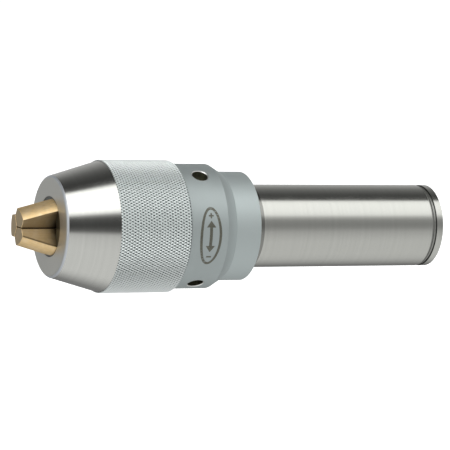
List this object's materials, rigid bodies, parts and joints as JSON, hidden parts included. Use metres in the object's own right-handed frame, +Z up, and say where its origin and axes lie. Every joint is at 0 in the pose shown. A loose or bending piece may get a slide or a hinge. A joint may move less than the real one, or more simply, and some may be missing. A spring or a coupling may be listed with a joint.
{
  "type": "drill chuck",
  "caption": "Keyless self-tightening drill chuck with inclined jaws, knurled sleeve, ground nose cone and a straight cylindrical shank.",
  "frame": {"origin": "on the chuck axis at the rear face of the collar, where the straight shank starts", "axes": "+X along the shank, away from the jaws; +Z up; the jaws and spanner holes are 120 degrees apart, one of each towards +Y"},
  "size_m": [0.1707, 0.05, 0.05],
  "materials": {
    "ground_steel": "cylindrically ground steel, fine rings round the axis",
    "ground_cone_steel": "turned and ground steel, fine rings round the axis",
    "satin_chrome": "bead-blasted satin chrome",
    "knurled_chrome": "diamond knurl under satin chrome",
    "gold_coating": "gold-coloured hard coating on ground steel",
    "guide_steel": "hardened and turned steel, oiled",
    "hardened_steel": "hardened and ground steel",
    "bearing_steel": "polished bearing steel",
    "black_steel": "black oxide on machined steel",
    "bronze": "machined bearing bronze",
    "brass": "machined brass",
    "seal_rubber": "black nitrile rubber"
  },
  "bodies": {
    "body": {"shank": "ground_steel", "end_cap": "ground_steel", "end_cap_seal": "seal_rubber", "shank_pins": "hardened_steel", "chuck_body": "satin_chrome", "dust_seal": "seal_rubber", "thrust_nut": "black_steel", "nut_screw": "black_steel", "drag_ring": "hardened_steel", "front_race": "hardened_steel"},
    "sleeve": {"knurled_sleeve": "knurled_chrome", "sleeve_bush": "bronze", "rear_race": "hardened_steel", "nose_cone": "ground_cone_steel", "jaw_guide": "guide_steel", "guide_pins": "hardened_steel"},
    "cage": {"ball_cage": "brass", "thrust_balls": "bearing_steel"},
    "carrier": {"jaw_carrier": "guide_steel", "lead_screw": "guide_steel", "carrier_pin": "hardened_steel", "stop_washer": "hardened_steel", "stop_screw": "black_steel"},
    "jaw_1": {"jaw_1": "gold_coating"},
    "jaw_2": {"jaw_2": "gold_coating"},
    "jaw_3": {"jaw_3": "gold_coating"}
  },
  "joints": [
    {"name": "sleeve_turn", "type": "hinge", "parent": "body", "child": "sleeve", "pos_m": [-0.0324, 0, 0], "axis": [1, 0, 0], "range_deg": [-1780, 60]},
    {"name": "cage_turn", "type": "hinge", "parent": "body", "child": "cage", "pos_m": [-0.03712, 0, 0], "axis": [1, 0, 0], "range_deg": [-890, 30]},
    {"name": "carrier_slide", "type": "slide", "parent": "sleeve", "child": "carrier", "axis": [-1, 0, 0], "range_m": [-0.01978, 0.00067]},
    {"name": "jaw_1_slide", "type": "slide", "parent": "sleeve", "child": "jaw_1", "axis": [-0.9563, 0.1462, -0.2532], "range_m": [-0.02068, 0.0007]},
    {"name": "jaw_2_slide", "type": "slide", "parent": "sleeve", "child": "jaw_2", "axis": [-0.9563, 0.1462, 0.2532], "range_m": [-0.02068, 0.0007]},
    {"name": "jaw_3_slide", "type": "slide", "parent": "sleeve", "child": "jaw_3", "axis": [-0.9563, -0.2924, 0], "range_m": [-0.02068, 0.0007]}
  ],
  "couplings": [
    {"joint": "cage_turn", "follows": "sleeve_turn", "ratio": 0.5},
    {"joint": "carrier_slide", "follows": "sleeve_turn", "m_per_rad": 0.00063662},
    {"joint": "jaw_1_slide", "follows": "sleeve_turn", "m_per_rad": 0.00066571},
    {"joint": "jaw_2_slide", "follows": "sleeve_turn", "m_per_rad": 0.00066571},
    {"joint": "jaw_3_slide", "follows": "sleeve_turn", "m_per_rad": 0.00066571}
  ]
}
